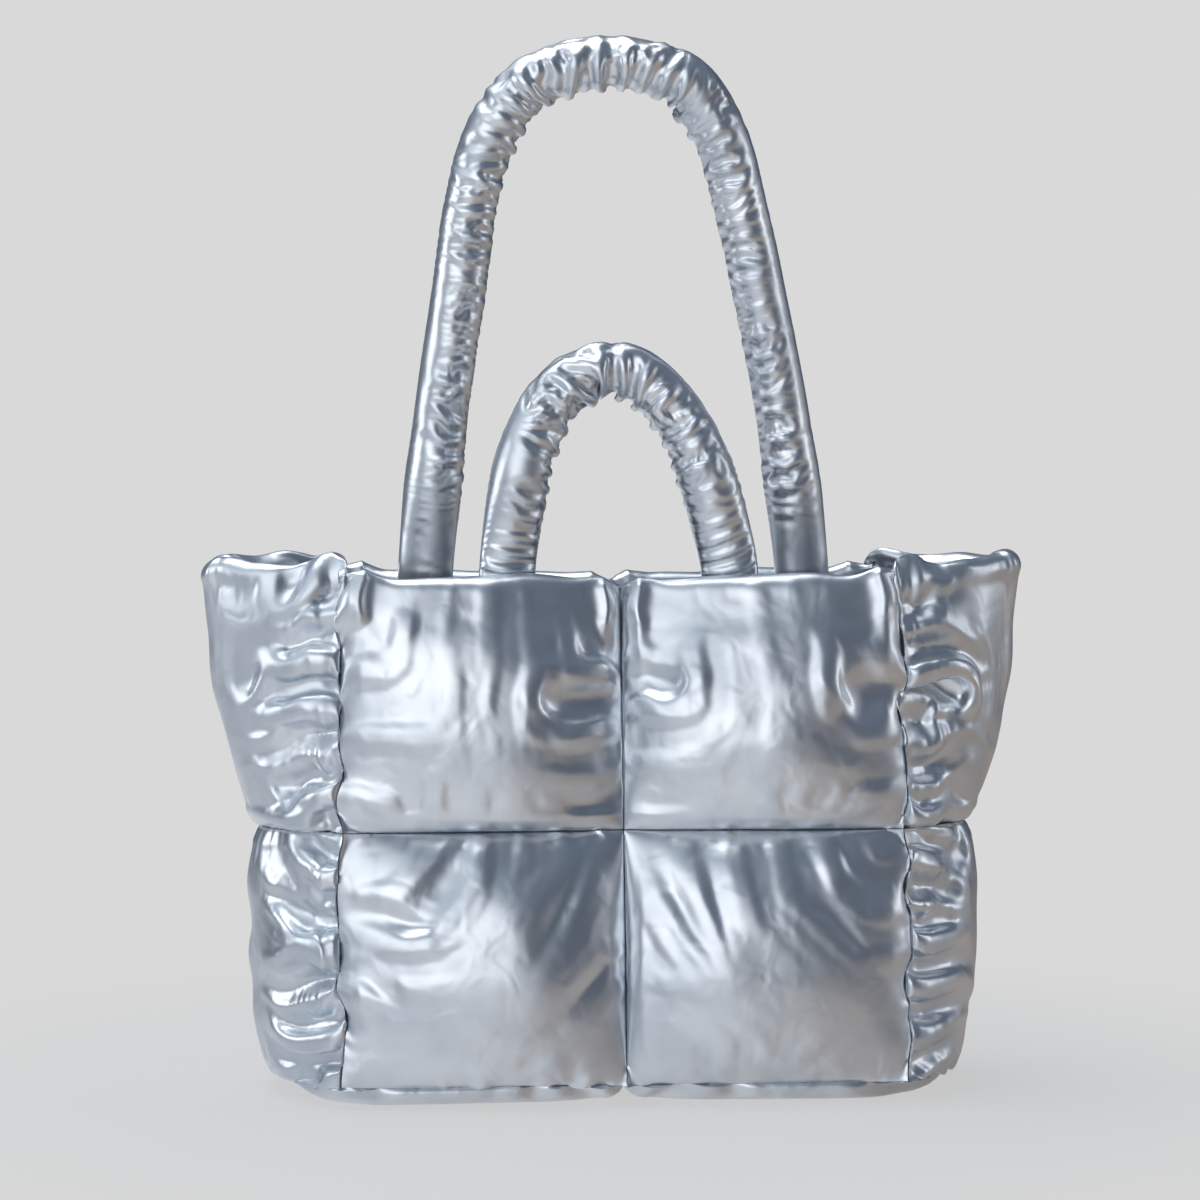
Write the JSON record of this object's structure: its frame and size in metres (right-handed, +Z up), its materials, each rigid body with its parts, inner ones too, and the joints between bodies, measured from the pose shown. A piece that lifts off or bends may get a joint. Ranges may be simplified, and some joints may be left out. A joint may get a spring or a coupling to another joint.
{
  "type": "puffer tote bag",
  "caption": "Open-topped padded tote bag with quilted puffs, gathered winged gussets, a flat base, and a long and a short padded loop handle.",
  "frame": {"origin": "on the floor, under the middle of the bag's bounding box", "axes": "+Z up, the front panel with the short handle faces -Y, +X to the right seen from the front"},
  "size_m": [0.5218, 0.2214, 0.6795],
  "materials": {
    "shell": "metallic silver coated cloth, satin"
  },
  "bodies": {
    "root": {"front_upper_left": "shell", "front_upper_right": "shell", "front_lower_left": "shell", "front_lower_right": "shell", "back_upper_left": "shell", "back_upper_right": "shell", "back_lower_left": "shell", "back_lower_right": "shell", "left_gusset_upper": "shell", "left_gusset_lower": "shell", "right_gusset_upper": "shell", "right_gusset_lower": "shell", "base_left": "shell", "base_right": "shell", "long_handle": "shell", "short_handle": "shell"}
  },
  "joints": []
}
